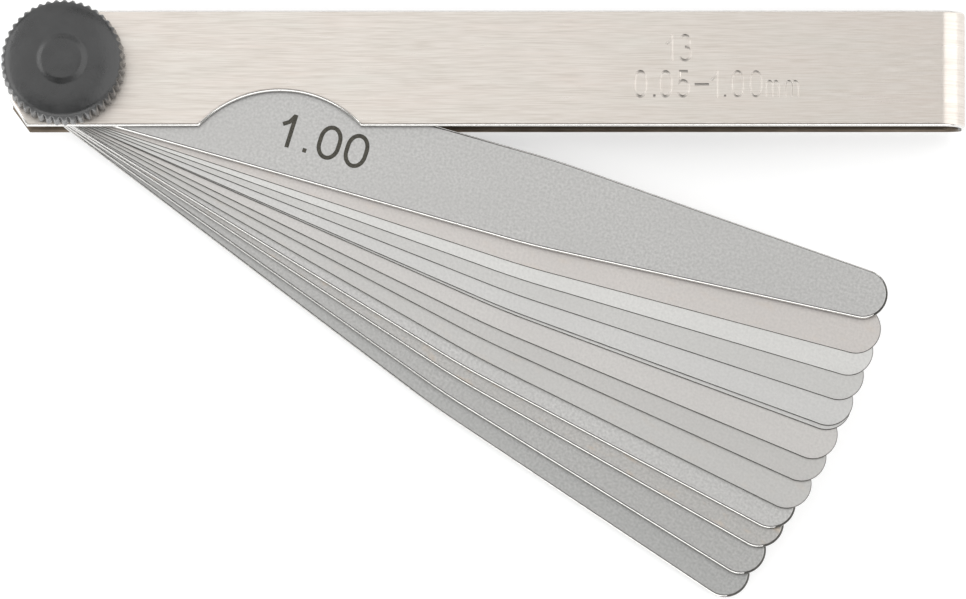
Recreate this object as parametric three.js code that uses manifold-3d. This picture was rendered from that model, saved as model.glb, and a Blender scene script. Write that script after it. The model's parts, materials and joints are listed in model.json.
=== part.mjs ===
// A feeler gauge: thirteen thickness blades pivot on a stud inside a case folded from one strip
// of sheet metal, and a knurled knob screwed onto the stud clamps them.
// Millimetres, +Z up. The origin is on the pivot axis, at the outer face of the back plate.
// +X runs along the case to its fold, and the blades fan out towards -Y.
import * as THREE from "three";
import { mergeVertices } from "three/addons/utils/BufferGeometryUtils.js";
import Module from "manifold-3d";

// Case: one strip folded into a U, lying on its back plate.
const SHEET = 0.8;
const CASE_LEFT = -6;
const CASE_RIGHT = 100;
const CASE_LOW = -6.8;
const CASE_HIGH = 6.2;
const FOLD_RADIUS = 2.2;
const CORNER_CUT_X = 1.9;
const CORNER_CUT_Y = 2.9;
const NOTCH_CENTRE_X = 24;
const NOTCH_WIDTH = 18;
const NOTCH_DEPTH = 3.9;

// Blades, from the one under the front plate down to the one on the back plate: thickness, and
// how far each is swung out of the case in degrees.
const BLADES = [
  { thickness: 1.0, swing: 16 },
  { thickness: 0.05, swing: 18.4 },
  { thickness: 0.1, swing: 20 },
  { thickness: 0.15, swing: 21.8 },
  { thickness: 0.2, swing: 23.7 },
  { thickness: 0.25, swing: 24 },
  { thickness: 0.3, swing: 26.2 },
  { thickness: 0.4, swing: 27.9 },
  { thickness: 0.5, swing: 30 },
  { thickness: 0.6, swing: 31.7 },
  { thickness: 0.7, swing: 33.2 },
  { thickness: 0.8, swing: 35.4 },
  { thickness: 0.9, swing: 37.3 },
];
const BLADE_HALF_WIDTH = 5;
const THICK_BLADE_REACH = 95;
const THIN_BLADE_REACH = 95.4;
const THICK_BLADES_FROM = 0.6;
const TIP_RADIUS = 2.75;
const TAPER_START = 55.5;
const TAPER_BLEND = 3;
const BLADE_GAP = 0.03;

// Pivot stud: staked flush into the back plate, with a plain shank and a threaded end that
// reaches up into the knob.
const SHANK_RADIUS = 2.5;
const STAKE_RADIUS = 3.2;
const STAKE_DEPTH = 0.5;
const SHANK_DROP = 0.3;
const THREAD_RADIUS = 2;
const THREAD_REACH = 3.6;
const THREAD_CHAMFER = 0.4;
const HELD_GAP = 0.05;
const RUNNING_GAP = 0.1;

// Washer, knob and the threaded insert moulded into the knob.
const WASHER_RADIUS = 4.5;
const WASHER_THICKNESS = 0.5;
const KNURL_TEETH = 45;
const INSERT_RADIUS = 3;
const INSERT_LENGTH = 3.8;
const POCKET_DEPTH = 3.9;
// The knob's outline from its underside to the middle of its top: crest radius, height and how
// deep the knurl is cut there.
const KNOB_PROFILE = [
  { radius: 6.65, height: 0, knurl: 0.2 },
  { radius: 6.9, height: 0.3, knurl: 0.3 },
  { radius: 6.8, height: 3.6, knurl: 0.3 },
  { radius: 6.5, height: 4.3, knurl: 0.2 },
  { radius: 5.95, height: 4.65, knurl: 0 },
  { radius: 5.3, height: 4.8, knurl: 0 },
  { radius: 3.6, height: 4.98, knurl: 0 },
  { radius: 2.8, height: 5.02, knurl: 0 },
  { radius: 2.1, height: 5.3, knurl: 0 },
  { radius: 1.1, height: 5.45, knurl: 0 },
];
const KNOB_MIDDLE_HEIGHT = 5.5;

const CURVE_SEGMENTS = 10;
const ROUND_SEGMENTS = 48;
const CUT_MARGIN = 1;

// Heights that follow from the stack of blades.
const stackHeight = BLADES.reduce((sum, blade) => sum + blade.thickness + BLADE_GAP, BLADE_GAP);
const slotTop = SHEET + stackHeight;
const caseTop = slotTop + SHEET;
const washerBase = caseTop + HELD_GAP;
const knobBase = washerBase + WASHER_THICKNESS + HELD_GAP;

const wasm = await Module();
wasm.setup();

function toSolid(geometry) {
  const bare = geometry.clone();
  bare.deleteAttribute("normal");
  bare.deleteAttribute("uv");
  const merged = mergeVertices(bare);
  const vertProperties = merged.getAttribute("position").array;
  const triVerts = new Uint32Array(merged.index.array);
  return new wasm.Manifold(new wasm.Mesh({ numProp: 3, vertProperties, triVerts }));
}

function toGeometry(solid) {
  const { vertProperties, triVerts } = solid.getMesh();
  const geometry = new THREE.BufferGeometry();
  geometry.setAttribute("position", new THREE.BufferAttribute(vertProperties, 3));
  geometry.setIndex(new THREE.BufferAttribute(triVerts, 1));
  geometry.computeVertexNormals();
  return geometry;
}

function slab(shape, thickness) {
  return new THREE.ExtrudeGeometry(shape, {
    depth: thickness,
    bevelEnabled: false,
    curveSegments: CURVE_SEGMENTS,
  });
}

// A turned solid about Z from [radius, height] pairs, which start and end on the axis and run
// upwards on the outside.
function turned(profile) {
  const points = profile.map(([radius, height]) => new THREE.Vector2(radius, height));
  return new THREE.LatheGeometry(points, ROUND_SEGMENTS).rotateX(Math.PI / 2);
}

function cylinder(radius, bottom, top) {
  return turned([
    [0, bottom],
    [radius, bottom],
    [radius, top],
    [0, top],
  ]);
}

// The strip's folded section, seen along the case's width.
function caseSection() {
  const inner = FOLD_RADIUS - SHEET;
  const bend = CASE_RIGHT - FOLD_RADIUS;
  const section = new THREE.Shape();
  section.moveTo(CASE_LEFT, 0);
  section.lineTo(bend, 0);
  section.absarc(bend, FOLD_RADIUS, FOLD_RADIUS, -Math.PI / 2, 0, false);
  section.absarc(bend, caseTop - FOLD_RADIUS, FOLD_RADIUS, 0, Math.PI / 2, false);
  section.lineTo(CASE_LEFT, caseTop);
  section.lineTo(CASE_LEFT, slotTop);
  section.absarc(bend, caseTop - FOLD_RADIUS, inner, Math.PI / 2, 0, true);
  section.absarc(bend, FOLD_RADIUS, inner, 0, -Math.PI / 2, true);
  section.lineTo(CASE_LEFT, SHEET);
  section.closePath();
  return section;
}

// The strip's outline seen from above: cut corners at the pivot end and a thumb notch in the
// edge that the blades come out of.
function caseOutline() {
  const halfWidth = NOTCH_WIDTH / 2;
  const radius = (halfWidth ** 2 + NOTCH_DEPTH ** 2) / (2 * NOTCH_DEPTH);
  const centreY = CASE_LOW + NOTCH_DEPTH - radius;
  const halfAngle = Math.asin(halfWidth / radius);
  const up = Math.PI / 2;
  const outline = new THREE.Shape();
  outline.moveTo(CASE_LEFT + CORNER_CUT_X, CASE_LOW);
  outline.lineTo(NOTCH_CENTRE_X - halfWidth, CASE_LOW);
  outline.absarc(NOTCH_CENTRE_X, centreY, radius, up + halfAngle, up - halfAngle, true);
  outline.lineTo(CASE_RIGHT + CUT_MARGIN, CASE_LOW);
  outline.lineTo(CASE_RIGHT + CUT_MARGIN, CASE_HIGH);
  outline.lineTo(CASE_LEFT + CORNER_CUT_X, CASE_HIGH);
  outline.lineTo(CASE_LEFT, CASE_HIGH - CORNER_CUT_Y);
  outline.lineTo(CASE_LEFT, CASE_LOW + CORNER_CUT_Y);
  outline.closePath();
  return outline;
}

function caseGeometry() {
  const width = CASE_HIGH - CASE_LOW;
  const strip = slab(caseSection(), width).rotateX(Math.PI / 2).translate(0, CASE_HIGH, 0);
  const outline = slab(caseOutline(), caseTop + 2 * CUT_MARGIN).translate(0, 0, -CUT_MARGIN);
  const threadHole = cylinder(THREAD_RADIUS + RUNNING_GAP, slotTop - CUT_MARGIN, caseTop + CUT_MARGIN);
  const stakeSlope = (STAKE_RADIUS - SHANK_RADIUS) / STAKE_DEPTH;
  const stakeHole = turned([
    [0, -CUT_MARGIN],
    [STAKE_RADIUS + HELD_GAP + stakeSlope * CUT_MARGIN, -CUT_MARGIN],
    [SHANK_RADIUS + HELD_GAP, STAKE_DEPTH],
    [SHANK_RADIUS + HELD_GAP, SHEET + CUT_MARGIN],
    [0, SHEET + CUT_MARGIN],
  ]);
  const solid = toSolid(strip)
    .intersect(toSolid(outline))
    .subtract(toSolid(threadHole))
    .subtract(toSolid(stakeHole));
  return toGeometry(solid);
}

// Each blade is parallel-sided round the pivot and tapers to a rounded tip. The thinner ones are
// cut a little longer.
function bladeGeometry(thickness) {
  const reach = thickness < THICK_BLADES_FROM ? THIN_BLADE_REACH : THICK_BLADE_REACH;
  const tipX = reach - TIP_RADIUS;
  const run = tipX - TAPER_START;
  const taper = Math.atan2(BLADE_HALF_WIDTH, run) - Math.asin(TIP_RADIUS / Math.hypot(run, BLADE_HALF_WIDTH));
  const blendX = TAPER_START + TAPER_BLEND * Math.cos(taper);
  const blendY = BLADE_HALF_WIDTH - TAPER_BLEND * Math.sin(taper);
  const tipAngle = Math.PI / 2 - taper;
  const outline = new THREE.Shape();
  outline.moveTo(0, -BLADE_HALF_WIDTH);
  outline.lineTo(TAPER_START - TAPER_BLEND, -BLADE_HALF_WIDTH);
  outline.quadraticCurveTo(TAPER_START, -BLADE_HALF_WIDTH, blendX, -blendY);
  outline.absarc(tipX, 0, TIP_RADIUS, -tipAngle, tipAngle, false);
  outline.lineTo(blendX, blendY);
  outline.quadraticCurveTo(TAPER_START, BLADE_HALF_WIDTH, TAPER_START - TAPER_BLEND, BLADE_HALF_WIDTH);
  outline.absarc(0, 0, BLADE_HALF_WIDTH, Math.PI / 2, Math.PI * 1.5, false);
  const hole = new THREE.Path();
  hole.absarc(0, 0, SHANK_RADIUS + RUNNING_GAP, 0, Math.PI * 2, true);
  outline.holes.push(hole);
  return slab(outline, thickness);
}

function studGeometry() {
  const shankTop = slotTop - SHANK_DROP;
  const threadTop = knobBase + THREAD_REACH;
  return turned([
    [0, 0],
    [STAKE_RADIUS, 0],
    [SHANK_RADIUS, STAKE_DEPTH],
    [SHANK_RADIUS, shankTop],
    [THREAD_RADIUS, shankTop],
    [THREAD_RADIUS, threadTop - THREAD_CHAMFER],
    [THREAD_RADIUS - THREAD_CHAMFER, threadTop],
    [0, threadTop],
  ]);
}

function ringGeometry(outerRadius, innerRadius, thickness) {
  return turned([
    [innerRadius, 0],
    [outerRadius, 0],
    [outerRadius, thickness],
    [innerRadius, thickness],
    [innerRadius, 0],
  ]);
}

// The knob's surface is a stack of rings, each a toothed circle, closed by a point at each end.
function knobGeometry() {
  const around = 2 * KNURL_TEETH;
  const positions = [0, 0, 0];
  for (const { radius, height, knurl } of KNOB_PROFILE) {
    for (let k = 0; k < around; k++) {
      const angle = (k / around) * Math.PI * 2;
      const r = k % 2 === 0 ? radius : radius - knurl;
      positions.push(r * Math.cos(angle), r * Math.sin(angle), height);
    }
  }
  positions.push(0, 0, KNOB_MIDDLE_HEIGHT);
  const last = positions.length / 3 - 1;
  const faces = [];
  for (let k = 0; k < around; k++) {
    const next = (k + 1) % around;
    faces.push(0, 1 + next, 1 + k);
    for (let level = 0; level < KNOB_PROFILE.length - 1; level++) {
      const low = 1 + level * around;
      const high = low + around;
      faces.push(low + k, low + next, high + next);
      faces.push(low + k, high + next, high + k);
    }
    const top = 1 + (KNOB_PROFILE.length - 1) * around;
    faces.push(top + k, top + next, last);
  }
  const body = new THREE.BufferGeometry();
  body.setAttribute("position", new THREE.Float32BufferAttribute(positions, 3));
  body.setIndex(faces);
  const pocket = cylinder(INSERT_RADIUS + HELD_GAP, -CUT_MARGIN, POCKET_DEPTH);
  return toGeometry(toSolid(body).subtract(toSolid(pocket)));
}

const nickelPlate = new THREE.MeshStandardMaterial({ color: 0xd6d0c6, metalness: 1, roughness: 0.35 });
const springSteel = new THREE.MeshStandardMaterial({ color: 0xbfbdb9, metalness: 1, roughness: 0.4 });
const studSteel = new THREE.MeshStandardMaterial({ color: 0xb4b2ae, metalness: 1, roughness: 0.3 });
const brass = new THREE.MeshStandardMaterial({ color: 0xc9a75a, metalness: 1, roughness: 0.35 });
const blackPlastic = new THREE.MeshStandardMaterial({ color: 0x2b2c2e, metalness: 0, roughness: 0.55 });

const group = new THREE.Group();

function place(name, geometry, material, height) {
  const mesh = new THREE.Mesh(geometry, material);
  mesh.name = name;
  mesh.position.z = height;
  group.add(mesh);
  return mesh;
}

place("case", caseGeometry(), nickelPlate, 0);
place("pivot_stud", studGeometry(), studSteel, 0);
place("washer", ringGeometry(WASHER_RADIUS, THREAD_RADIUS + RUNNING_GAP, WASHER_THICKNESS), studSteel, washerBase);
place("knob", knobGeometry(), blackPlastic, knobBase);
place("knob_insert", ringGeometry(INSERT_RADIUS, THREAD_RADIUS + RUNNING_GAP, INSERT_LENGTH), brass, knobBase);

let bladeTop = slotTop - BLADE_GAP;
for (const { thickness, swing } of BLADES) {
  const name = "blade_" + thickness.toFixed(2).replace(".", "_");
  const blade = place(name, bladeGeometry(thickness), springSteel, bladeTop - thickness);
  blade.rotation.z = -THREE.MathUtils.degToRad(swing);
  bladeTop -= thickness + BLADE_GAP;
}

export default group;
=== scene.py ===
"""The looks of the feeler gauge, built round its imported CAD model.

Everything stands in the CAD frame, in metres: +Z from the back plate to the knob, +X along the
case to its fold, and the blades fanned out towards -Y. Flat pieces are drawn in millimetres and
scaled down, because Blender's fill merges points that lie closer than 0.03 of a unit.
"""
import json
import math

import bmesh
import bpy
from mathutils import Matrix, Vector


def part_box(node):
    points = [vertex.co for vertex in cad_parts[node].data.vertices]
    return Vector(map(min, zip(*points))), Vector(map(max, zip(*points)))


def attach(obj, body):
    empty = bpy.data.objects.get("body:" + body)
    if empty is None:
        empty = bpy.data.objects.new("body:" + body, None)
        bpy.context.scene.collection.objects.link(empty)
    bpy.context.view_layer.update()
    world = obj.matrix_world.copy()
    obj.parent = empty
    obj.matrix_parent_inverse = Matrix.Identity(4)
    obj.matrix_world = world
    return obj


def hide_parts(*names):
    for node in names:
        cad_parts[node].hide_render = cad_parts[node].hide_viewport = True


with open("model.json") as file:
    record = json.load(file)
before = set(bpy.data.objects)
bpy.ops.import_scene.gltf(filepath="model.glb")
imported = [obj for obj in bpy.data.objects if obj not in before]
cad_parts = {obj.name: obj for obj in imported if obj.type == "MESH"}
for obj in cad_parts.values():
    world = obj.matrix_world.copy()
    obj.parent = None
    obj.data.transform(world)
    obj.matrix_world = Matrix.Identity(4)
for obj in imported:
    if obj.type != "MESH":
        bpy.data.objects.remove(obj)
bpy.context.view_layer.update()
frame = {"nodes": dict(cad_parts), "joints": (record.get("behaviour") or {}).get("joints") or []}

MM = 0.001


def box_mm(node):
    """A CAD node's lowest and highest corners, in millimetres."""
    return [[c / MM for c in corner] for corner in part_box(node)]


case_low, case_high = box_mm("case")

# Case, in millimetres. Past the fold, the back plate's lower edge lies further in by BACK_TRIM.
SHEET = 0.8
FOLD_RADIUS = 2.6
CORNER_CUT_X = 1.9
CORNER_CUT_Y = 2.9
NOTCH_CENTRE_X = 24
NOTCH_WIDTH = 18
NOTCH_DEPTH = 3.9
CASE_ROUNDING = 0.37
FOLD_STEPS = 24
BACK_TRIM = 0.3

# Struck signs, in millimetres. The first sign's cutter stands proud of the plate by STAMP_RISE, and
# each later one by STAMP_FADE more for every millimetre along the row, which makes it shallower.
STAMP_HEIGHT = 2.82
STAMP_WIDTH = 1.85
STAMP_HALF_STROKE = 0.2
STAMP_DEPTH = 0.08
STAMP_RISE = 0.013
STAMP_FADE = 0.0016
# Each row is its middle's y and its signs, each with the x of its left side.
STAMPED_ROWS = (
    (1.95, (("1", 66.86), ("3", 68.37))),
    (-2.1, (("0", 63.37), (".", 65.34), ("0", 66.17), ("5", 68.15), ("-", 70.02), ("1", 71.87),
            (".", 73.18), ("0", 74.15), ("0", 76.18), ("m", 77.95), ("m", 80.1))),
)

# Blades, in millimetres. Blades up to THIN_BLADE thick have finer grain and edges. The etched mark
# leans down towards the tip by MARK_LEAN degrees.
BLADE_HALF_WIDTH = 5
TIP_RADIUS = 2.75
TAPER_START = 55.5
TAPER_BLEND = 3
BLADE_ROUNDING = 0.3
THIN_BLADE = 0.52
THIN_ROUNDING = 0.1
THIN_COARSENESS = 0.45
MARK_CENTRE = (30.05, -0.09)
MARK_LEAN = 1.1
MARK_HEIGHT = 3.45
MARK_WIDTH = 3.22
MARK_GAP = 0.975
MARK_HALF_STROKE = 0.235
MARK_THICKNESS = 0.006

# Stud, washer, insert and knob, in millimetres.
SHANK_RADIUS = 2.5
STAKE_RADIUS = 3.2
STAKE_DEPTH = 0.5
SHANK_DROP = 0.3
THREAD_RADIUS = 2.0
THREAD_DEPTH = 0.38
THREAD_PITCH = 0.7
HELD_GAP = 0.05
RUNNING_GAP = 0.1
POCKET_DEPTH = 3.9
KNURL_TEETH = 45
KNURL_DEPTH = 0.42

# Picture, in millimetres from the pivot at the front plate's level, and studio, in metres.
PICTURE_WIDTH = 107.0
PICTURE_CENTRE = (46.6, -26.2)
STUDIO_CENTRE = (0.046, -0.026, 0.0)
FLOOR_GLOW = 0.5


# ---------------------------------------------------------------- mesh helpers

def new_object(name, mesh):
    piece = bpy.data.objects.new(name, mesh)
    bpy.context.collection.objects.link(piece)
    return piece


def weld(mesh, distance):
    work = bmesh.new()
    work.from_mesh(mesh)
    bmesh.ops.remove_doubles(work, verts=work.verts, dist=distance)
    bmesh.ops.recalc_face_normals(work, faces=work.faces)
    work.to_mesh(mesh)
    work.free()


def curve_mesh(name, curve):
    """The mesh of a filled curve or text, welded into closed solids."""
    holder = new_object(name, curve)
    depsgraph = bpy.context.evaluated_depsgraph_get()
    mesh = bpy.data.meshes.new_from_object(holder.evaluated_get(depsgraph))
    bpy.data.objects.remove(holder)
    mesh.name = name
    weld(mesh, 1e-4)
    return mesh


def plate_mesh(name, loops, thickness, rounding, steps):
    """A flat plate in millimetres, centred on z = 0, with rounded edges round every loop."""
    curve = bpy.data.curves.new(name, "CURVE")
    curve.dimensions = "2D"
    curve.fill_mode = "BOTH"
    curve.extrude = thickness / 2 - rounding
    curve.bevel_depth = rounding
    curve.bevel_resolution = steps
    curve.offset = -rounding
    for loop in loops:
        spline = curve.splines.new("POLY")
        spline.points.add(len(loop) - 1)
        for point, (x, y) in zip(spline.points, loop):
            point.co = (x, y, 0, 1)
        spline.use_cyclic_u = True
    return curve_mesh(name, curve)


def arc(centre, radius, start, end, steps):
    """Points on an arc, its angles in degrees, both ends included."""
    points = []
    for k in range(steps + 1):
        angle = math.radians(start + (end - start) * k / steps)
        points.append((centre[0] + radius * math.cos(angle), centre[1] + radius * math.sin(angle)))
    return points


def bow(centre, reach, start, end):
    """Points on an ellipse's arc with one reach along x and one along y, its angles in degrees."""
    points = []
    for x, y in arc((0, 0), 1, start, end, max(4, round(abs(end - start) / 12))):
        points.append((centre[0] + reach[0] * x, centre[1] + reach[1] * y))
    return points


def smoothstep(t):
    t = min(1, max(0, t))
    return t * t * (3 - 2 * t)


def glyph_strokes():
    """Each sign's width and the centre lines of its strokes, one unit high."""
    six = [bow((0.42, 0.36), (0.42, 0.64), 68, 178), bow((0.335, 0.33), (0.335, 0.33), 180, 540)]
    nine = [[(0.67 - x, 1 - y) for x, y in stroke] for stroke in six]
    m_arches = [bow((x, 0.4), (0.19, 0.22), 180, 0) + [(x + 0.19, 0)] for x in (0.19, 0.57)]
    return {
        "0": (0.67, [bow((0.335, 0.6), (0.335, 0.4), 0, 180) + bow((0.335, 0.4), (0.335, 0.4), 180, 360)
                     + [(0.67, 0.6)]]),
        "1": (0.56, [[(0, 0.64), (0.2, 0.77), (0.33, 0.99)], [(0.35, 1.05), (0.35, -0.05)]]),
        "2": (0.67, [bow((0.33, 0.68), (0.31, 0.32), 165, -36) + [(0.02, 0)], [(0, 0), (0.67, 0)]]),
        "3": (0.67, [bow((0.31, 0.76), (0.28, 0.24), 155, -90), bow((0.31, 0.27), (0.34, 0.27), 90, -155)]),
        "4": (0.67, [[(0.5, -0.05), (0.5, 1.05)], [(0.48, 1), (0, 0.3)], [(-0.02, 0.3), (0.67, 0.3)]]),
        "5": (0.67, [[(0.6, 1), (0.08, 1)],
                     [(0.12, 1), (0.06, 0.52)] + bow((0.31, 0.32), (0.34, 0.32), 135, -150)]),
        "6": (0.67, six),
        "7": (0.67, [[(0, 1), (0.67, 1)], [(0.65, 1), (0.25, -0.05)]]),
        "8": (0.67, [bow((0.335, 0.76), (0.28, 0.24), 90, 450), bow((0.335, 0.27), (0.335, 0.27), 90, 450)]),
        "9": (0.67, nine),
        ".": (0.23, [[(0.045, 0.025), (0.185, 0.025)]]),
        "-": (0.86, [[(0, 0.48), (0.86, 0.48)]]),
        "m": (0.76, [[(0, 0), (0, 0.62)]] + m_arches),
    }


def set_out(signs, width, gap):
    """Places signs in a row round x = 0: (sign, x of its left side) pairs in millimetres."""
    widths = {sign: glyph[0] * width for sign, glyph in glyph_strokes().items()}
    along = (gap - sum(widths[sign] + gap for sign in signs)) / 2
    placed = []
    for sign in signs:
        placed.append((sign, along))
        along += widths[sign] + gap
    return placed


def lettering_mesh(name, placed, height, width, half_stroke, half_depth, roundness):
    """Lettering in millimetres round y = 0: flattened tubes along each placed sign's centre lines."""
    glyphs = glyph_strokes()
    curve = bpy.data.curves.new(name, "CURVE")
    curve.dimensions = "3D"
    curve.twist_mode = "Z_UP"
    curve.bevel_depth = half_stroke
    curve.bevel_resolution = roundness
    curve.use_fill_caps = True
    for sign, left in placed:
        for stroke in glyphs[sign][1]:
            closed = math.dist(stroke[0], stroke[-1]) < 1e-6
            places = stroke[:-1] if closed else stroke
            spline = curve.splines.new("POLY")
            spline.points.add(len(places) - 1)
            spline.use_cyclic_u = closed
            for point, (x, y) in zip(spline.points, places):
                point.co = (left + x * width, (y - 0.5) * height, 0, 1)
    mesh = curve_mesh(name, curve)
    mesh.transform(Matrix.Diagonal((1, 1, half_depth / half_stroke, 1)))
    return mesh


def turned_mesh(name, profile, around, radius_at=None):
    """A solid about Z from (radius, height) pairs in millimetres, from bottom to top on the outside.

    A pair with radius 0 closes the solid on the axis. Where neither end does, the last pair joins
    the first again. radius_at(pair index, radius, height, angle) gives the radius at one angle.
    """
    work = bmesh.new()
    rings = []
    for index, (radius, height) in enumerate(profile):
        if radius == 0:
            rings.append([work.verts.new((0, 0, height))])
            continue
        ring = []
        for k in range(around):
            angle = 2 * math.pi * k / around
            r = radius_at(index, radius, height, angle) if radius_at else radius
            ring.append(work.verts.new((r * math.cos(angle), r * math.sin(angle), height)))
        rings.append(ring)
    pairs = list(zip(rings, rings[1:]))
    if len(rings[0]) > 1:
        pairs.append((rings[-1], rings[0]))
    for low, high in pairs:
        for k in range(around):
            following = (k + 1) % around
            if len(low) == 1:
                corners = (low[0], high[following], high[k])
            elif len(high) == 1:
                corners = (low[k], low[following], high[0])
            else:
                corners = (low[k], low[following], high[following], high[k])
            work.faces.new(corners)
    bmesh.ops.recalc_face_normals(work, faces=work.faces)
    mesh = bpy.data.meshes.new(name)
    work.to_mesh(mesh)
    work.free()
    return mesh


def smooth_shade(piece, angle):
    """Smooth shading that keeps flat faces flat and edges over the angle, in degrees, sharp."""
    piece.data.polygons.foreach_set("use_smooth", [True] * len(piece.data.polygons))
    piece.data.set_sharp_from_angle(angle=math.radians(angle))
    modifier = piece.modifiers.new("flat_faces", "WEIGHTED_NORMAL")
    modifier.keep_sharp = True
    modifier.weight = 90


def shade_plate(piece, angle):
    """Smooth shading for the rounded edges and bends of sheet metal, with its flat faces left flat."""
    piece.data.set_sharp_from_angle(angle=math.radians(angle))
    for polygon in piece.data.polygons:
        polygon.use_smooth = max(abs(polygon.normal.x), abs(polygon.normal.z)) < 0.9995


def lay_out(mesh):
    """Stores each point's place in the mesh's own plane, in metres, as the map its grain follows."""
    while mesh.uv_layers:
        mesh.uv_layers.remove(mesh.uv_layers[0])
    layer = mesh.uv_layers.new(name="grain")
    for loop in mesh.loops:
        point = mesh.vertices[loop.vertex_index].co
        layer.data[loop.index].uv = (point.x * MM, point.y * MM)


def finish_piece(piece, body, slot, *nodes):
    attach(piece, body)
    if nodes:
        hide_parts(*nodes)


# ---------------------------------------------------------------- materials

class Finish:
    """A Principled material, with short calls for the nodes that its surface detail needs."""

    def __init__(self, name, colour, metallic, roughness, source):
        self.material = bpy.data.materials.new(name)
        self.material.use_nodes = True
        self.tree = self.material.node_tree
        self.shader = self.tree.nodes["Principled BSDF"]
        self.shader.inputs["Base Color"].default_value = (*colour, 1)
        self.shader.inputs["Metallic"].default_value = metallic
        self.shader.inputs["Roughness"].default_value = roughness
        self.coordinates = self.tree.nodes.new("ShaderNodeTexCoord").outputs[source]

    def noise(self, scale, detail=2.0):
        """Noise between 0 and 1, its scale given along each axis in features per metre."""
        mapping = self.tree.nodes.new("ShaderNodeMapping")
        mapping.inputs["Scale"].default_value = scale
        self.tree.links.new(self.coordinates, mapping.inputs["Vector"])
        noise = self.tree.nodes.new("ShaderNodeTexNoise")
        noise.inputs["Scale"].default_value = 1
        noise.inputs["Detail"].default_value = detail
        self.tree.links.new(mapping.outputs["Vector"], noise.inputs["Vector"])
        return noise.outputs["Fac"]

    def spread(self, value, low, high, to_low, to_high):
        node = self.tree.nodes.new("ShaderNodeMapRange")
        for name, number in zip(("From Min", "From Max", "To Min", "To Max"), (low, high, to_low, to_high)):
            node.inputs[name].default_value = number
        self.tree.links.new(value, node.inputs["Value"])
        return node.outputs["Result"]

    def blend(self, factor, first, second):
        """Mixes two colours by a factor; either may be a socket or a colour."""
        node = self.tree.nodes.new("ShaderNodeMix")
        node.data_type = "RGBA"
        self.tree.links.new(factor, node.inputs["Factor"])
        for socket, colour in ((node.inputs[6], first), (node.inputs[7], second)):
            if isinstance(colour, tuple):
                socket.default_value = (*colour, 1)
            else:
                self.tree.links.new(colour, socket)
        return node.outputs[2]

    def colour(self, socket):
        self.tree.links.new(socket, self.shader.inputs["Base Color"])

    def mottle(self, value, low, high, first, second):
        """Colours the surface from the first colour to the second as a value goes from low to high."""
        self.colour(self.blend(self.spread(value, low, high, 0, 1), first, second))

    def roughness(self, value, low, high, to_low, to_high):
        """Sets the roughness from to_low to to_high as a value goes from low to high."""
        self.tree.links.new(self.spread(value, low, high, to_low, to_high), self.shader.inputs["Roughness"])

    def bump(self, layers):
        """Stacks bumps, each a height between 0 and 1 with its depth in metres."""
        normal = None
        for height, depth in layers:
            node = self.tree.nodes.new("ShaderNodeBump")
            node.inputs["Strength"].default_value = 1
            node.inputs["Distance"].default_value = depth
            self.tree.links.new(height, node.inputs["Height"])
            if normal:
                self.tree.links.new(normal, node.inputs["Normal"])
            normal = node.outputs["Normal"]
        self.tree.links.new(normal, self.shader.inputs["Normal"])


def times(colour, factor):
    return tuple(c * factor for c in colour)


def nickel(name, brightness):
    """Warm nickel plate, brushed along the strip."""
    plain, pink, green, shaded, worn = [times(colour, brightness) for colour in (
        (0.74, 0.69, 0.63), (0.765, 0.69, 0.63), (0.73, 0.695, 0.635),
        (0.64, 0.585, 0.525), (0.83, 0.78, 0.73),
    )]
    finish = Finish(name, plain, 1, 0.3, "UV")
    streaks = finish.noise((120, 2600, 1), 4)
    hairs = finish.noise((300, 8000, 1), 3)
    hue = finish.noise((75, 300, 1), 2)
    tone = finish.blend(finish.spread(hue, 0.3, 0.7, 0, 1), pink, green)
    tone = finish.blend(finish.spread(streaks, 0.36, 0.64, 0, 0.8), tone, shaded)
    finish.colour(finish.blend(finish.spread(hairs, 0.4, 0.62, 0, 0.6), tone, worn))
    finish.roughness(streaks, 0.2, 0.8, 0.25, 0.4)
    finish.bump([(streaks, 2.6e-6), (hairs, 1.0e-6)])
    return finish.material


def blade_face(name, colour, stain, coarseness):
    """Satin spring steel with a fine grain and faint grinding lines.

    stain and coarseness, from 0 to 1, say how strong its brown tarnish and its grain are.
    """
    finish = Finish(name, colour, 1, 0.4, "UV")
    grain = finish.noise((3400, 3400, 1), 5)
    lines = finish.noise((120, 7000, 1), 2)
    clouds = finish.noise((70, 160, 1), 3)
    dark = times(colour, 1 - 0.15 * coarseness)
    light = times(colour, 1 + 0.09 * coarseness)
    tone = finish.blend(finish.spread(grain, 0.34, 0.66, 0, 1), dark, light)
    tone = finish.blend(finish.spread(clouds, 0.35, 0.75, 0, 0.4), tone, times(colour, 0.92))
    if stain:
        patches = finish.noise((380, 900, 1), 5)
        tone = finish.blend(finish.spread(patches, 0.56, 0.72, 0, stain), tone, (0.66, 0.50, 0.34))
    finish.colour(tone)
    finish.roughness(lines, 0.25, 0.75, 0.34, 0.46)
    finish.bump([(grain, 1.3e-6 * coarseness), (lines, 6e-7), (clouds, 4e-6)])
    return finish.material


def bright_edge():
    """The burnished part of a sheared edge, smoother than the faces of the sheet."""
    finish = Finish("bright_edge", (0.76, 0.75, 0.73), 1, 0.18, "Object")
    scratches = finish.noise((2500, 2500, 9000), 2)
    finish.mottle(scratches, 0.3, 0.7, (0.79, 0.78, 0.76), (0.70, 0.69, 0.67))
    finish.roughness(scratches, 0.25, 0.75, 0.13, 0.24)
    finish.bump([(scratches, 1.0e-6)])
    return finish.material


def dull_edge_painted_shade():
    """The torn, dull part of a sheared edge, made near black as painted shade for the dark lines along and
    under the edges.
    """
    finish = Finish("dull_edge_painted_shade", (0.09, 0.087, 0.08), 1, 0.42, "Object")
    blots = finish.noise((500, 500, 500), 2)
    finish.mottle(blots, 0.3, 0.7, (0.065, 0.063, 0.058), (0.11, 0.107, 0.1))
    finish.roughness(blots, 0.25, 0.75, 0.38, 0.5)
    return finish.material


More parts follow.
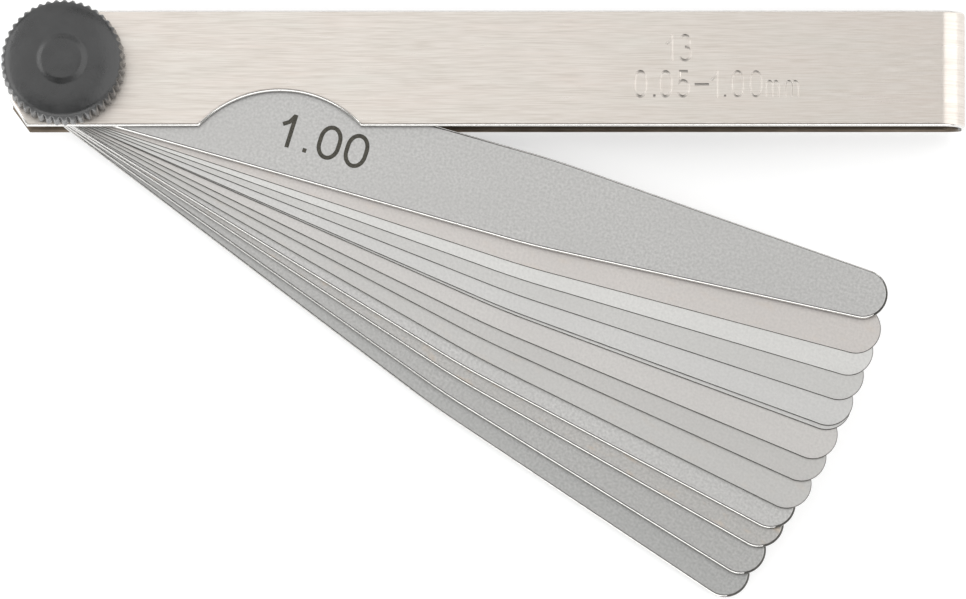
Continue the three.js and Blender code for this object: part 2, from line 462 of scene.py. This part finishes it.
def dark_inside_painted_shade():
    """The inside of the case, left bare; its dark brown is painted shade for the narrow gap between the
    plates.
    """
    finish = Finish("dark_inside_painted_shade", (0.11, 0.085, 0.06), 1, 0.5, "UV")
    streaks = finish.noise((120, 2600, 1), 3)
    patches = finish.noise((260, 320, 1), 3)
    tone = finish.blend(finish.spread(patches, 0.3, 0.7, 0, 1), (0.13, 0.105, 0.08), (0.22, 0.18, 0.14))
    finish.colour(finish.blend(finish.spread(streaks, 0.3, 0.7, 0, 0.5), tone, (0.09, 0.072, 0.055)))
    finish.roughness(streaks, 0.25, 0.75, 0.38, 0.6)
    finish.bump([(streaks, 2.0e-6)])
    return finish.material


def turned_metal(name, colour, roughness):
    """A turned metal with fine rings round its axis."""
    finish = Finish(name, colour, 1, roughness, "Object")
    rings = finish.noise((500, 500, 14000), 2)
    finish.mottle(rings, 0.3, 0.7, colour, times(colour, 0.82))
    finish.roughness(rings, 0.25, 0.75, roughness * 0.8, roughness * 1.25)
    finish.bump([(rings, 1.5e-6)])
    return finish.material


def knob_plastic():
    """Black moulded plastic: a fine leathery skin, slightly uneven in gloss."""
    finish = Finish("black_plastic", (0.02, 0.02, 0.021), 0, 0.34, "Object")
    finish.shader.inputs["Specular IOR Level"].default_value = 0.75
    skin = finish.noise((3200, 3200, 3200), 3)
    swells = finish.noise((620, 620, 620), 2)
    finish.mottle(swells, 0.3, 0.7, (0.015, 0.0153, 0.0155), (0.024, 0.0243, 0.0245))
    finish.roughness(swells, 0.3, 0.7, 0.25, 0.36)
    finish.bump([(skin, 1.5e-5), (swells, 4.0e-5)])
    return finish.material


def etched_mark():
    """Dark laser-etched lettering, a little uneven."""
    finish = Finish("etched_mark", (0.045, 0.043, 0.038), 0.2, 0.55, "Object")
    specks = finish.noise((6500, 6500, 6500), 3)
    finish.mottle(specks, 0.35, 0.7, (0.026, 0.024, 0.018), (0.075, 0.069, 0.052))
    finish.roughness(specks, 0.3, 0.7, 0.45, 0.65)
    return finish.material


def floor_finish():
    """A light table: white acrylic, lit from below."""
    finish = Finish("light_table", (0.6, 0.6, 0.6), 0, 0.7, "Object")
    clouds = finish.noise((6, 6, 6), 2)
    finish.colour(finish.blend(clouds, (0.59, 0.59, 0.59), (0.61, 0.61, 0.605)))
    finish.shader.inputs["Emission Color"].default_value = (1, 1, 1, 1)
    finish.shader.inputs["Emission Strength"].default_value = FLOOR_GLOW
    return finish.material


# ---------------------------------------------------------------- case

def strip_loops(length):
    """The flat strip that the case is folded from: front plate, fold and back plate in one row.

    x runs along the strip from the front plate's pivot end, y across it as on the object.
    """
    low, high = case_low[1], case_high[1]
    half = NOTCH_WIDTH / 2
    radius = (half ** 2 + NOTCH_DEPTH ** 2) / (2 * NOTCH_DEPTH)
    spread = math.degrees(math.asin(half / radius))
    notch_at = NOTCH_CENTRE_X - case_low[0]
    pivot_at = -case_low[0]
    outline = [(0, low + CORNER_CUT_Y), (CORNER_CUT_X, low)]
    for centre in (notch_at, length - notch_at):
        outline += arc((centre, low + NOTCH_DEPTH - radius), radius, 90 + spread, 90 - spread, 40)
    outline += [(length - CORNER_CUT_X, low), (length, low + CORNER_CUT_Y)]
    outline += [(length, high - CORNER_CUT_Y), (length - CORNER_CUT_X, high)]
    outline += [(CORNER_CUT_X, high), (0, high - CORNER_CUT_Y)]
    thread_hole = arc((pivot_at, 0), THREAD_RADIUS + RUNNING_GAP, 360, 0, 64)[:-1]
    stake_hole = arc((length - pivot_at, 0), SHANK_RADIUS + HELD_GAP, 360, 0, 64)[:-1]
    return [outline, thread_hole, stake_hole]


def cut_away(piece, cutter_mesh):
    cutter = new_object("cutter", cutter_mesh)
    modifier = piece.modifiers.new("cut", "BOOLEAN")
    modifier.operation = "DIFFERENCE"
    modifier.solver = "EXACT"
    modifier.use_self = True
    modifier.object = cutter
    depsgraph = bpy.context.evaluated_depsgraph_get()
    cut = bpy.data.meshes.new_from_object(piece.evaluated_get(depsgraph))
    piece.modifiers.clear()
    piece.data = cut
    bpy.data.objects.remove(cutter)


def stamp_case(piece):
    """Strikes the signs into the flat strip one by one, shallower and finer towards the fold."""
    first = STAMPED_ROWS[1][1][0][1]
    for y, placed in STAMPED_ROWS:
        for sign, x in placed:
            stamp = lettering_mesh("stamp", [(sign, x - case_low[0])], STAMP_HEIGHT, STAMP_WIDTH,
                                   STAMP_HALF_STROKE, STAMP_DEPTH, 0)
            rise = STAMP_RISE + STAMP_FADE * (x - first)
            stamp.transform(Matrix.Translation((0, y, SHEET / 2 + rise)))
            cut_away(piece, stamp)


def fold_strip(mesh, front, wall, bend):
    """Folds the flat strip: its upper face becomes the outside of the case.

    Past the fold the strip's lower edge lies further in, by BACK_TRIM.
    """
    middle = FOLD_RADIUS - SHEET / 2
    top = case_high[2]
    corner_x = case_high[0] - FOLD_RADIUS
    corner_z = top - FOLD_RADIUS
    for vertex in mesh.vertices:
        x, y, w = vertex.co
        if x <= front:
            place = (case_low[0] + x, top - SHEET / 2 + w)
        elif x <= front + bend:
            turn = (x - front) / middle
            place = (corner_x + (middle + w) * math.sin(turn), corner_z + (middle + w) * math.cos(turn))
        elif x <= front + bend + wall:
            place = (corner_x + middle + w, corner_z - (x - front - bend))
        elif x <= front + 2 * bend + wall:
            turn = (x - front - bend - wall) / middle
            place = (corner_x + (middle + w) * math.cos(turn), FOLD_RADIUS - (middle + w) * math.sin(turn))
        else:
            place = (corner_x - (x - front - 2 * bend - wall), SHEET / 2 - w)
        if y < -BLADE_HALF_WIDTH:
            y += BACK_TRIM * smoothstep((x - front - bend) / (wall + bend))
        vertex.co = (place[0] * MM, y * MM, place[1] * MM)


def add_creases(mesh, places):
    """Cuts the flat mesh across its length at each place, so that it can bend there."""
    work = bmesh.new()
    work.from_mesh(mesh)
    for x in places:
        everything = work.verts[:] + work.edges[:] + work.faces[:]
        bmesh.ops.bisect_plane(work, geom=everything, dist=1e-5, plane_co=(x, 0, 0), plane_no=(1, 0, 0))
    work.to_mesh(mesh)
    work.free()


def cut_stake_seat(piece, length):
    """Cuts the tapered seat in the back plate that the stud's end is staked into."""
    neck, mouth = SHANK_RADIUS + HELD_GAP, STAKE_RADIUS + HELD_GAP
    slope = (STAKE_RADIUS - SHANK_RADIUS) / STAKE_DEPTH
    outside = SHEET / 2
    seat = [(0, -1), (neck, -1), (neck, outside - STAKE_DEPTH)]
    seat += [(mouth + slope, outside + 1), (0, outside + 1)]
    cutter = turned_mesh("stake_seat", seat, 64)
    cutter.transform(Matrix.Translation((length + case_low[0], 0, 0)))
    cut_away(piece, cutter)


def share_case_metals(mesh, length):
    """Gives each face of the flat strip its metal: plated outside, dark inside, sheared edges, darker struck
    signs; the dark inside, the near-black inner edges and the struck signs' darker walls are painted shade.
    """
    metals = (nickel("nickel_plate", 0.94), bright_edge_metal, painted_shade_edge_metal, dark_inside_painted_shade(),
              nickel("struck_nickel_painted_shade", 0.62))
    plated, bright, painted_shade_edge, inside_painted_shade, struck = range(len(metals))
    mesh.materials.clear()
    for material in metals:
        mesh.materials.append(material)
    longest_row = STAMPED_ROWS[1][1]
    stamped_from = longest_row[0][1] - case_low[0] - 1
    stamped_to = longest_row[-1][1] - case_low[0] + STAMP_WIDTH
    for polygon in mesh.polygons:
        facing, place = polygon.normal.z, polygon.center
        upper_half = place.z > 0.02
        # The sloped walls of the struck signs get nickel at 0.62 brightness: painted shade in the grooves.
        if stamped_from < place.x < stamped_to and abs(place.y) < 4 and 0.1 < facing < 0.9999:
            polygon.material_index = struck
        elif facing > 0.9:
            polygon.material_index = plated
        # The inside faces and the back plate's inner roundings get the dark inside finish: painted shade.
        elif facing < -0.99 or (place.x > length / 2 and not upper_half):
            polygon.material_index = inside_painted_shade
        # The inner roundings on the front half of the strip get the near-black edge: painted shade; the
        # outer ones stay burnished.
        else:
            polygon.material_index = bright if upper_half else painted_shade_edge


def make_case():
    front = case_high[0] - FOLD_RADIUS - case_low[0]
    bend = (FOLD_RADIUS - SHEET / 2) * math.pi / 2
    wall = case_high[2] - 2 * FOLD_RADIUS
    length = 2 * (front + bend) + wall
    flat = plate_mesh("folded_case", strip_loops(length), SHEET, CASE_ROUNDING, 6)
    piece = new_object("folded_case", flat)
    stamp_case(piece)
    cut_stake_seat(piece, length)
    creases = []
    for start in (front, front + bend + wall):
        creases += [start + bend * k / FOLD_STEPS for k in range(FOLD_STEPS + 1)]
    add_creases(piece.data, creases)
    lay_out(piece.data)
    share_case_metals(piece.data, length)
    fold_strip(piece.data, front, wall, bend)
    piece.data.update()
    shade_plate(piece, 32)
    finish_piece(piece, "case", "nickel", "case")


# ---------------------------------------------------------------- blades

def blade_loops(reach):
    """A blade's outline, along +X with its pivot hole round the origin: wide, then tapering."""
    tip_x = reach - TIP_RADIUS
    run = tip_x - TAPER_START
    taper = math.atan2(BLADE_HALF_WIDTH, run) - math.asin(TIP_RADIUS / math.hypot(run, BLADE_HALF_WIDTH))
    blend = []
    for k in range(9):
        t = k / 8
        along = TAPER_START - TAPER_BLEND * (1 - t) ** 2 + TAPER_BLEND * math.cos(taper) * t ** 2
        blend.append((along, BLADE_HALF_WIDTH - TAPER_BLEND * math.sin(taper) * t ** 2))
    lower = [(x, -y) for x, y in blend]
    side = 90 - math.degrees(taper)
    outline = arc((0, 0), BLADE_HALF_WIDTH, 90, 270, 48) + lower
    outline += arc((tip_x, 0), TIP_RADIUS, -side, side, 40) + blend[::-1]
    hole = arc((0, 0), SHANK_RADIUS + RUNNING_GAP, 360, 0, 64)[:-1]
    return [outline, hole]


def share_blade_metals(mesh, face, thin):
    """Gives a blade's faces their steel, and its edges their burnished parts and their near-black parts,
    which are painted shade.
    """
    steel, bright, painted_shade_edge = range(3)
    mesh.materials.clear()
    for material in (face, bright_edge_metal, painted_shade_edge_metal):
        mesh.materials.append(material)
    for polygon in mesh.polygons:
        facing = polygon.normal.z
        upright = abs(facing) < 0.35
        # Painted shade and highlight by the way each face points: a thick blade's upper rounding is
        # burnished bright unless it faces +X; a thin blade's roundings, every lower rounding and the
        # +X-facing rounding go near black, for the shadow lines along the edges.
        shoulder = not thin and polygon.normal.x < 0.4 and 0 < facing < 0.9
        if abs(facing) > 0.99:
            polygon.material_index = steel
        else:
            polygon.material_index = bright if upright or shoulder else painted_shade_edge


def make_blade(node, swing, colour, stain):
    low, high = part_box(node)
    thickness = (high[2] - low[2]) / MM
    turn = Matrix.Rotation(-math.radians(swing), 4, "Z")
    lying = [turn.inverted() @ vertex.co for vertex in frame["nodes"][node].data.vertices]
    reach = max(point.x for point in lying) / MM
    thin = thickness <= THIN_BLADE
    rounding = THIN_ROUNDING if thin else min(BLADE_ROUNDING, THIN_ROUNDING + thickness / 3)
    drawn = max(thickness, 2.2 * rounding)
    mesh = plate_mesh(node + "_steel", blade_loops(reach), drawn, rounding, 5)
    lay_out(mesh)
    face = blade_face(node + "_face", colour, stain, THIN_COARSENESS if thin else 1)
    share_blade_metals(mesh, face, thin)
    lift = Matrix.Translation((0, 0, (low[2] + high[2]) / 2))
    mesh.transform(lift @ turn @ Matrix.Diagonal((MM, MM, MM * thickness / drawn, 1)))
    piece = new_object(node + "_steel", mesh)
    shade_plate(piece, 40)
    finish_piece(piece, node, "blade_steel", node)

    signs = node[len("blade_"):].replace("_", ".")
    placed = set_out(signs, MARK_WIDTH, MARK_GAP)
    mark = lettering_mesh(node + "_mark", placed, MARK_HEIGHT, MARK_WIDTH, MARK_HALF_STROKE,
                          MARK_THICKNESS / 2, 2)
    shift = Matrix.Translation((*MARK_CENTRE, 0)) @ Matrix.Rotation(-math.radians(MARK_LEAN), 4, "Z")
    above = Matrix.Translation((0, 0, high[2] + MARK_THICKNESS * MM / 2))
    mark.transform(above @ turn @ Matrix.Scale(MM, 4) @ shift)
    mark.materials.clear()
    mark.materials.append(mark_finish)
    piece = new_object(node + "_mark", mark)
    smooth_shade(piece, 60)
    finish_piece(piece, node, "blade_steel")


# ---------------------------------------------------------------- stud, washer, insert and knob

def make_stud():
    shank_top = case_high[2] - SHEET - SHANK_DROP
    top = box_mm("pivot_stud")[1][2]
    chamfer = 0.4
    break_edge = 0.15
    root = THREAD_RADIUS - THREAD_DEPTH
    thread_from = shank_top + 0.35
    profile = [(0, 0.02), (STAKE_RADIUS * 0.55, 0.0), (STAKE_RADIUS - 0.08, 0.0), (STAKE_RADIUS, 0.04)]
    profile += [(SHANK_RADIUS, STAKE_DEPTH), (SHANK_RADIUS, shank_top - break_edge)]
    profile += [(SHANK_RADIUS - break_edge, shank_top), (root, shank_top), (root, thread_from)]
    threaded_height = top - chamfer - thread_from
    steps = int(threaded_height / THREAD_PITCH * 10)
    first = len(profile)
    for k in range(1, steps + 1):
        profile.append((THREAD_RADIUS, thread_from + threaded_height * k / steps))
    profile += [(THREAD_RADIUS - chamfer, top), (0, top)]

    def threaded(index, radius, height, angle):
        """The thread's helix, from its root to its crest and back in each pitch."""
        if index < first or index >= first + steps:
            return radius
        turn = (height / THREAD_PITCH - angle / (2 * math.pi)) % 1
        crest = min(1, max(0, 1.15 - 2.3 * abs(turn - 0.5)))
        return THREAD_RADIUS - THREAD_DEPTH * (1 - crest)

    mesh = turned_mesh("stud_body", profile, 64, threaded)
    mesh.transform(Matrix.Scale(MM, 4))
    mesh.materials.append(stud_finish)
    piece = new_object("stud_body", mesh)
    smooth_shade(piece, 38)
    finish_piece(piece, "case", "stud_steel", "pivot_stud")


def make_ring(name, node, body, slot, material, chamfer, knurl):
    """A chamfered ring round the thread that fills its node's box.

    knurl is the depth of the 32 grooves round its outside, or 0 for none.
    """
    (_, _, bottom), (outer, _, top) = box_mm(node)
    hole = THREAD_RADIUS + RUNNING_GAP
    profile = [(hole + chamfer, bottom), (outer - chamfer, bottom), (outer, bottom + chamfer)]
    profile += [(outer, top - chamfer), (outer - chamfer, top), (hole + chamfer, top)]
    profile += [(hole, top - chamfer), (hole, bottom + chamfer)]

    def grooved(index, radius, height, angle):
        if knurl and index in (2, 3):
            return radius - knurl * (0.5 + 0.5 * math.cos(angle * 32))
        return radius

    mesh = turned_mesh(name, profile, 128, grooved)
    mesh.transform(Matrix.Scale(MM, 4))
    mesh.materials.append(material)
    piece = new_object(name, mesh)
    smooth_shade(piece, 35)
    finish_piece(piece, body, slot, node)


def between(start, end, across, up):
    """The point that lies a part of the way across and a part of the way up from start to end."""
    return start[0] + (end[0] - start[0]) * across, start[1] + (end[1] - start[1]) * up


def knob_outline():
    """(radius, height, knurl depth) above the knob's underside, from its rim to its middle."""
    rows = [(6.45, 0.0, 0.14), (6.7, 0.06, 0.28), (6.86, 0.2, 0.38)]
    for k in range(9):
        rows.append((*between((6.9, 0.35), (6.8, 3.2), k / 8, k / 8), KNURL_DEPTH))
    for k in range(1, 13):
        angle = math.radians(66 * k / 12)
        fading = KNURL_DEPTH * (1 - smoothstep((k - 2) / 7))
        rows.append((5.5 + 1.3 * math.cos(angle), 3.35 + 1.3 * math.sin(angle), fading))
    edge, foot, crown, middle = rows[-1][:2], (3.0, 5.0), (2.05, 5.28), (0, 5.37)
    for k in range(1, 15):
        rows.append((*between(edge, foot, k / 14, 1 - (1 - k / 14) ** 2.4), 0))
    for k in range(1, 11):
        rows.append((*between(foot, crown, k / 10, smoothstep(k / 10)), 0))
    for k in range(1, 6):
        rows.append((*between(crown, middle, k / 5, math.sin(k / 5 * math.pi / 2)), 0))
    return rows


def make_knob():
    rows = knob_outline()
    base = box_mm("knob")[0][2]
    pocket = box_mm("knob_insert")[1][0] + HELD_GAP
    chamfer = 0.15
    profile = [(0, base + POCKET_DEPTH), (pocket, base + POCKET_DEPTH), (pocket, base + chamfer)]
    profile.append((pocket + chamfer, base))
    first = len(profile)
    profile += [(radius, base + height) for radius, height, knurl in rows]

    def knurled(index, radius, height, angle):
        if index < first:
            return radius
        tooth = abs(math.cos(angle * KNURL_TEETH / 2))
        return radius - rows[index - first][2] * (1 - tooth)

    mesh = turned_mesh("knurled_knob", profile, KNURL_TEETH * 14, knurled)
    mesh.transform(Matrix.Scale(MM, 4))
    mesh.materials.append(knob_plastic())
    piece = new_object("knurled_knob", mesh)
    smooth_shade(piece, 50)
    finish_piece(piece, "knob", "knob_plastic", "knob")


# ---------------------------------------------------------------- studio

def light_panel(name, tilt_x, tilt_y, distance, width, depth, radiance):
    """A softbox facing the gauge, leaning tilt_x and tilt_y degrees from straight above it."""
    lean = Matrix.Rotation(math.radians(tilt_x), 4, "Y") @ Matrix.Rotation(math.radians(-tilt_y), 4, "X")
    light = bpy.data.lights.new(name, "AREA")
    light.shape = "RECTANGLE"
    light.size = width
    light.size_y = depth
    light.energy = radiance * math.pi * width * depth
    lamp = bpy.data.objects.new(name, light)
    bpy.context.collection.objects.link(lamp)
    lamp.matrix_world = Matrix.Translation(STUDIO_CENTRE) @ lean @ Matrix.Translation((0, 0, distance))
    lamp.visible_camera = False


def span(distance, degrees):
    """The width that covers this many degrees, seen from a distance."""
    return 2 * distance * math.tan(math.radians(degrees / 2))


def make_studio():
    """Bright boxes with dark gaps between them, so that rounded edges show dark and light lines."""
    world = bpy.data.worlds.new("studio")
    bpy.context.scene.world = world
    world.use_nodes = True
    background = world.node_tree.nodes["Background"]
    background.inputs["Color"].default_value = (1, 1, 1, 1)
    background.inputs["Strength"].default_value = 0.2
    light_panel("overhead", -22, 15, 0.5, span(0.5, 54), span(0.5, 58), 0.97)
    light_panel("right_box", 41, 5, 0.9, span(0.9, 56), 1.2, 1.45)
    light_panel("right_strip", 78, 0, 1.0, span(1.0, 19), 1.4, 1.5)
    light_panel("front_strip", 0, -70, 1.0, 1.6, span(1.0, 30), 2.0)
    light_panel("back_strip", 0, 66, 1.0, 1.6, span(1.0, 34), 0.9)
    light_panel("left_strip", -64, 0, 1.0, span(1.0, 40), 1.4, 2.2)
    bpy.ops.mesh.primitive_plane_add(size=6, location=(*STUDIO_CENTRE[:2], case_low[2] * MM))
    floor = bpy.context.object
    floor.name = "floor"
    floor.data.materials.append(floor_finish())
    bpy.context.scene.view_settings.view_transform = "Standard"


def make_camera():
    """A long lens, almost straight above the front plate, a little towards -Y and +X."""
    lean_y, lean_x = math.radians(7), math.radians(1.2)
    lens, sensor = 600, 36
    distance = lens / sensor * PICTURE_WIDTH * MM
    target = Vector((PICTURE_CENTRE[0], PICTURE_CENTRE[1], case_high[2])) * MM
    back = Vector((math.tan(lean_x), -math.tan(lean_y), 1)).normalized()
    up = Vector((0, back.z, -back.y)).normalized()
    right = up.cross(back).normalized()
    data = bpy.data.cameras.new("camera")
    data.lens = lens
    data.sensor_width = sensor
    data.clip_start, data.clip_end = 0.01, 10
    camera = bpy.data.objects.new("camera", data)
    bpy.context.collection.objects.link(camera)
    place = Matrix((right, up, back)).transposed().to_4x4()
    place.translation = target + back * distance
    camera.matrix_world = place
    bpy.context.scene.camera = camera


# ---------------------------------------------------------------- the gauge

# Each blade's own tone, from the top of the stack down, and how strong its tarnish is.
BLADE_TONES = {
    "blade_1_00": ((0.525, 0.52, 0.508), 0),
    "blade_0_05": ((0.61, 0.58, 0.555), 0.1),
    "blade_0_10": ((0.68, 0.675, 0.655), 0),
    "blade_0_15": ((0.587, 0.581, 0.563), 0),
    "blade_0_20": ((0.612, 0.607, 0.593), 0),
    "blade_0_25": ((0.60, 0.595, 0.58), 0),
    "blade_0_30": ((0.602, 0.585, 0.565), 0),
    "blade_0_40": ((0.55, 0.54, 0.522), 0),
    "blade_0_50": ((0.555, 0.547, 0.53), 0.08),
    "blade_0_60": ((0.555, 0.55, 0.537), 0),
    "blade_0_70": ((0.485, 0.476, 0.458), 0.35),
    "blade_0_80": ((0.46, 0.457, 0.445), 0),
    "blade_0_90": ((0.44, 0.44, 0.43), 0),
}

bright_edge_metal = bright_edge()
# The near-black edge finish is painted shade.
painted_shade_edge_metal = dull_edge_painted_shade()
mark_finish = etched_mark()
stud_finish = turned_metal("turned_steel", (0.62, 0.61, 0.60), 0.3)
brass_finish = turned_metal("turned_brass", (0.72, 0.56, 0.28), 0.32)

make_camera()
make_studio()
make_case()
swings = {joint["child"]: joint["range_deg"][1] for joint in frame["joints"] if "range_deg" in joint}
for blade, (tone, tarnish) in BLADE_TONES.items():
    make_blade(blade, swings[blade], tone, tarnish)
make_stud()
make_ring("flat_washer", "washer", "washer", "stud_steel", stud_finish, 0.06, 0)
make_ring("threaded_insert", "knob_insert", "knob", "insert_brass", brass_finish, 0.15, 0.12)
make_knob()
